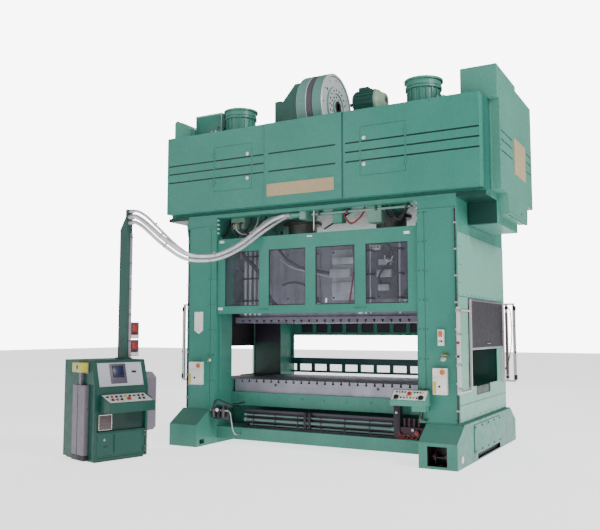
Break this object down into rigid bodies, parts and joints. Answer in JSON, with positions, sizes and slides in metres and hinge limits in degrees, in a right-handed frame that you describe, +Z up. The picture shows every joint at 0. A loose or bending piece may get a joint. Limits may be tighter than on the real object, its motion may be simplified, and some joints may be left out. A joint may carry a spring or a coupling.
{
  "type": "straight-side mechanical press",
  "caption": "Straight-side mechanical stamping press with T-slotted bolster and slide, guard doors, crown drive with flywheel, and an operator console with a cable mast",
  "frame": {"origin": "on the floor, at the centre of the four anchor-bolt holes in the feet", "axes": "+X to the operator's right, +Y from the front to the rear, +Z up"},
  "size_m": [6.3983, 5.6678, 6.776],
  "materials": {
    "green_paint": "semi-gloss industrial enamel",
    "light_green_paint": "semi-gloss industrial enamel",
    "dark_green_paint": "semi-gloss enamel",
    "steel": "machined and oiled",
    "machined_iron": "machined casting",
    "bronze": "bearing bronze",
    "dark_steel": "dark satin enamel",
    "white_paint": "satin enamel",
    "tan_plate": "matt plate",
    "grey_paint": "satin enamel",
    "galvanised": "galvanised",
    "conduit_skin": "grey jacketed flexible conduit",
    "belt_rubber": "matt rubber",
    "smoked_pane": "smoked polycarbonate",
    "red_button": "gloss",
    "black_button": "gloss"
  },
  "bodies": {
    "frame": {"bed": "green_paint", "left_upright": "green_paint", "right_upright": "green_paint", "crown": "green_paint", "tie_rods": "steel", "bolster": "steel", "upright_covers": "light_green_paint", "crown_left_cover": "green_paint", "crown_middle_cover": "green_paint", "crown_right_cover": "green_paint", "left_gear_cover": "green_paint", "right_gear_cover": "green_paint", "crown_cabinet": "green_paint", "blank_plates": "tan_plate", "bearings": "bronze", "slide_gibs": "bronze", "gear_guard": "dark_green_paint", "motor_base": "green_paint", "motor": "green_paint", "drive_belts": "belt_rubber", "air_cylinders": "light_green_paint", "guard_rails": "light_green_paint", "pipe_rack": "dark_steel", "operator_panel": "white_paint", "electrical_boxes": "white_paint", "console_cabinet": "green_paint", "console_panel": "grey_paint", "console_shelf": "white_paint", "console_fittings": "grey_paint", "mast": "dark_green_paint", "conduit_glands": "galvanised", "conduit_a": "conduit_skin", "conduit_b": "conduit_skin", "conduit_c": "conduit_skin", "levelling_screws": "steel"},
    "crank": {"crankshaft": "steel", "bull_gears": "machined_iron"},
    "rods": {"conrods": "machined_iron"},
    "plunger_pair": {"plungers": "steel"},
    "slide_unit": {"slide": "machined_iron", "slide_plate": "steel", "cylinder_rods": "steel"},
    "cross_shaft_unit": {"cross_shaft": "steel"},
    "clutch_shaft_unit": {"clutch_shaft": "steel"},
    "flywheel_unit": {"flywheel": "green_paint"},
    "sheave_unit": {"motor_sheave": "machined_iron"},
    "front_door": {"front_guard": "green_paint", "guard_windows": "smoked_pane"},
    "rear_door": {"rear_guard": "green_paint"},
    "left_side_door": {"left_side_guard": "dark_steel"},
    "right_side_door": {"right_side_guard": "dark_steel"},
    "left_hatch_door": {"left_hatch": "green_paint"},
    "right_hatch_door": {"right_hatch": "green_paint"},
    "console_door_leaf": {"console_door": "green_paint"},
    "left_run": {"left_run_button": "black_button"},
    "right_run": {"right_run_button": "black_button"},
    "panel_stop": {"panel_stop_button": "red_button"},
    "left_stop": {"left_stop_button": "red_button"},
    "right_stop": {"right_stop_button": "red_button"},
    "console_stop": {"console_stop_button": "red_button"}
  },
  "joints": [
    {"name": "crank_turn", "type": "hinge", "parent": "frame", "child": "crank", "pos_m": [0, 0, 4.519], "axis": [1, 0, 0], "range_deg": [0, 180]},
    {"name": "rod_pin", "type": "hinge", "parent": "crank", "child": "rods", "pos_m": [0, 0, 4.595], "axis": [1, 0, 0], "range_deg": [-180, 0]},
    {"name": "plunger_slide", "type": "slide", "parent": "frame", "child": "plunger_pair", "axis": [0, 0, 1], "range_m": [-0.152, 0]},
    {"name": "height_adjust", "type": "slide", "parent": "plunger_pair", "child": "slide_unit", "axis": [0, 0, 1], "range_m": [-0.1, 0.05]},
    {"name": "cross_shaft_turn", "type": "hinge", "parent": "frame", "child": "cross_shaft_unit", "pos_m": [0, 0.42836, 5.34448], "axis": [1, 0, 0], "range_deg": [-490.1, 0]},
    {"name": "clutch_shaft_turn", "type": "hinge", "parent": "frame", "child": "clutch_shaft_unit", "pos_m": [0, 0, 6.136], "axis": [1, 0, 0], "range_deg": [0, 3008]},
    {"name": "flywheel_turn", "type": "hinge", "parent": "frame", "child": "flywheel_unit", "pos_m": [-0.432, 0, 6.136], "axis": [1, 0, 0], "continuous": true},
    {"name": "sheave_turn", "type": "hinge", "parent": "frame", "child": "sheave_unit", "pos_m": [-0.432, 0.8, 6.415], "axis": [1, 0, 0], "continuous": true},
    {"name": "front_guard_slide", "type": "slide", "parent": "frame", "child": "front_door", "axis": [0, 0, 1], "range_m": [-1.176, 0]},
    {"name": "rear_guard_slide", "type": "slide", "parent": "frame", "child": "rear_door", "axis": [0, 0, 1], "range_m": [-0.5, 0.6]},
    {"name": "left_side_guard_slide", "type": "slide", "parent": "frame", "child": "left_side_door", "axis": [0, 0, 1], "range_m": [-0.575, 0]},
    {"name": "right_side_guard_slide", "type": "slide", "parent": "frame", "child": "right_side_door", "axis": [0, 0, 1], "range_m": [-0.575, 0]},
    {"name": "left_hatch_hinge", "type": "hinge", "parent": "frame", "child": "left_hatch_door", "pos_m": [-1.852, -1.557, 4.8], "axis": [0, 0, 1], "range_deg": [-110, 0]},
    {"name": "right_hatch_hinge", "type": "hinge", "parent": "frame", "child": "right_hatch_door", "pos_m": [1.755, -1.557, 4.8], "axis": [0, 0, 1], "range_deg": [0, 110]},
    {"name": "console_door_hinge", "type": "hinge", "parent": "frame", "child": "console_door_leaf", "pos_m": [-2.13493, -2.96275, 0.25], "axis": [0, 0, 1], "range_deg": [0, 100]},
    {"name": "left_run_press", "type": "slide", "parent": "frame", "child": "left_run", "axis": [0, 0.7071, -0.7071], "range_m": [0, 0.006], "stiffness_N_per_m": 900, "springref_m": -0.008},
    {"name": "right_run_press", "type": "slide", "parent": "frame", "child": "right_run", "axis": [0, 0.7071, -0.7071], "range_m": [0, 0.006], "stiffness_N_per_m": 900, "springref_m": -0.008},
    {"name": "panel_stop_press", "type": "slide", "parent": "frame", "child": "panel_stop", "axis": [0, 0.7071, -0.7071], "range_m": [0, 0.006], "stiffness_N_per_m": 900, "springref_m": -0.008},
    {"name": "left_stop_press", "type": "slide", "parent": "frame", "child": "left_stop", "axis": [0, 1, 0], "range_m": [0, 0.006], "stiffness_N_per_m": 900, "springref_m": -0.008},
    {"name": "right_stop_press", "type": "slide", "parent": "frame", "child": "right_stop", "axis": [0, 1, 0], "range_m": [0, 0.006], "stiffness_N_per_m": 900, "springref_m": -0.008},
    {"name": "console_stop_press", "type": "slide", "parent": "frame", "child": "console_stop", "axis": [-0.352, 0.0989, -0.9308], "range_m": [0, 0.006], "stiffness_N_per_m": 900, "springref_m": -0.008}
  ],
  "couplings": [
    {"joint": "rod_pin", "follows": "crank_turn", "ratio": -1},
    {"joint": "plunger_slide", "follows": "crank_turn", "m_per_rad": -0.048383},
    {"joint": "cross_shaft_turn", "follows": "crank_turn", "ratio": -2.72},
    {"joint": "clutch_shaft_turn", "follows": "crank_turn", "ratio": 16.709},
    {"joint": "sheave_turn", "follows": "flywheel_turn", "ratio": 5.339}
  ]
}
